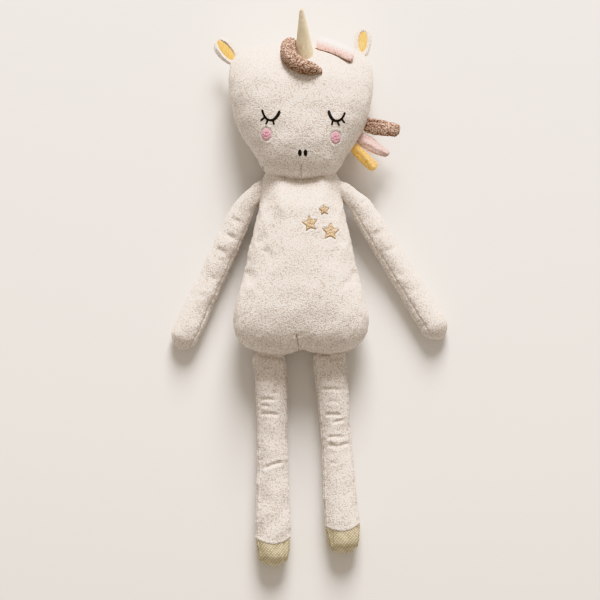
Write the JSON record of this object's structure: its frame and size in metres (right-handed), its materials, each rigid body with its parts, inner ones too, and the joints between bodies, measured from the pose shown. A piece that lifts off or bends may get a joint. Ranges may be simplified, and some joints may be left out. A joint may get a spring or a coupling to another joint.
{
  "type": "plush unicorn",
  "caption": "Long-limbed plush unicorn lying on its back, with sewn stuffed panels, a twill horn and hooves, mane locks and an embroidered sleeping face.",
  "frame": {"origin": "middle of the flat of the body's back, on the surface the toy lies on", "axes": "+Z out of the toy's front, +Y towards its crown, +X towards its own left side"},
  "size_m": [0.2517, 0.5001, 0.0714],
  "materials": {
    "velour": "short-pile velour",
    "filling": "polyester fibre filling",
    "twill": "cotton twill",
    "satin": "satin",
    "brown_velour": "long-pile velour",
    "pink_velour": "short-pile velour",
    "yellow_velour": "short-pile velour",
    "black_thread": "satin stitch embroidery",
    "pink_thread": "satin stitch embroidery",
    "gold_thread": "satin stitch embroidery",
    "sewing_thread": "polyester sewing thread"
  },
  "bodies": {
    "torso": {"torso_front_panel": "velour", "torso_back_panel": "velour", "torso_stuffing": "filling", "neck_stitches": "sewing_thread", "closing_stitches": "sewing_thread", "large_star": "gold_thread", "medium_star": "gold_thread", "small_star": "gold_thread"},
    "head": {"head_front_panel": "velour", "head_back_panel": "velour", "head_stuffing": "filling", "horn_cover": "twill", "horn_stuffing": "filling", "left_eye": "black_thread", "right_eye": "black_thread", "left_cheek": "pink_thread", "right_cheek": "pink_thread", "nostrils": "black_thread", "forelock": "brown_velour"},
    "crown_lock": {"crown_lock": "pink_velour"},
    "brown_lock": {"brown_lock": "brown_velour"},
    "pink_lock": {"pink_lock": "pink_velour"},
    "yellow_lock": {"yellow_lock": "yellow_velour"},
    "left_ear": {"left_ear_back": "velour", "left_ear_lining": "satin"},
    "left_shoulder": {"left_shoulder_thread": "sewing_thread"},
    "left_arm": {"left_arm_front_panel": "velour", "left_arm_back_panel": "velour", "left_arm_stuffing": "filling"},
    "left_leg": {"left_leg_front_panel": "velour", "left_leg_back_panel": "velour", "left_leg_stuffing": "filling", "left_hoof_front": "twill", "left_hoof_back": "twill"},
    "right_ear": {"right_ear_back": "velour", "right_ear_lining": "satin"},
    "right_shoulder": {"right_shoulder_thread": "sewing_thread"},
    "right_arm": {"right_arm_front_panel": "velour", "right_arm_back_panel": "velour", "right_arm_stuffing": "filling"},
    "right_leg": {"right_leg_front_panel": "velour", "right_leg_back_panel": "velour", "right_leg_stuffing": "filling", "right_hoof_front": "twill", "right_hoof_back": "twill"}
  },
  "joints": [
    {"name": "neck_nod", "type": "hinge", "parent": "torso", "child": "head", "pos_m": [0, 0.0778, 0.024], "axis": [1, 0, 0], "range_deg": [-25, 25]},
    {"name": "left_arm_raise", "type": "hinge", "parent": "torso", "child": "left_shoulder", "pos_m": [0.03576, 0.068, 0.024], "axis": [-1, 0, 0], "range_deg": [-25, 100]},
    {"name": "left_arm_swing", "type": "hinge", "parent": "left_shoulder", "child": "left_arm", "pos_m": [0.04301, 0.068, 0.024], "axis": [0, 0, 1], "range_deg": [-14, 50]},
    {"name": "left_hip_fold", "type": "hinge", "parent": "torso", "child": "left_leg", "pos_m": [0.0265, -0.086, 0.017], "axis": [-1, 0, 0], "range_deg": [-20, 100]},
    {"name": "right_arm_raise", "type": "hinge", "parent": "torso", "child": "right_shoulder", "pos_m": [-0.03576, 0.068, 0.024], "axis": [-1, 0, 0], "range_deg": [-25, 100]},
    {"name": "right_arm_swing", "type": "hinge", "parent": "right_shoulder", "child": "right_arm", "pos_m": [-0.04301, 0.068, 0.024], "axis": [0, 0, -1], "range_deg": [-7, 120]},
    {"name": "right_hip_fold", "type": "hinge", "parent": "torso", "child": "right_leg", "pos_m": [-0.0265, -0.086, 0.017], "axis": [-1, 0, 0], "range_deg": [-20, 100]},
    {"name": "left_ear_flop", "type": "hinge", "parent": "head", "child": "left_ear", "pos_m": [0.05946, 0.19093, 0.024], "axis": [0.9976, -0.0698, 0], "range_deg": [-45, 45], "stiffness_Nm_per_rad": 0.0012},
    {"name": "right_ear_flop", "type": "hinge", "parent": "head", "child": "right_ear", "pos_m": [-0.06497, 0.18591, 0.024], "axis": [0.766, 0.6428, 0], "range_deg": [-45, 45], "stiffness_Nm_per_rad": 0.0012},
    {"name": "crown_lock_lift", "type": "hinge", "parent": "head", "child": "crown_lock", "pos_m": [0.01722, 0.19667, 0.04537], "axis": [-0.2315, -0.9728, 0], "range_deg": [0, 60], "stiffness_Nm_per_rad": 0.0012},
    {"name": "brown_lock_flop", "type": "hinge", "parent": "head", "child": "brown_lock", "pos_m": [0.06257, 0.12526, 0.024], "axis": [-0.1392, -0.9903, 0], "range_deg": [-60, 60], "stiffness_Nm_per_rad": 0.0012},
    {"name": "pink_lock_flop", "type": "hinge", "parent": "head", "child": "pink_lock", "pos_m": [0.05581, 0.11086, 0.024], "axis": [-0.4848, -0.8746, 0], "range_deg": [-60, 60], "stiffness_Nm_per_rad": 0.0012},
    {"name": "yellow_lock_flop", "type": "hinge", "parent": "head", "child": "yellow_lock", "pos_m": [0.05018, 0.10223, 0.024], "axis": [-0.7193, -0.6947, 0], "range_deg": [-60, 60], "stiffness_Nm_per_rad": 0.0012}
  ]
}
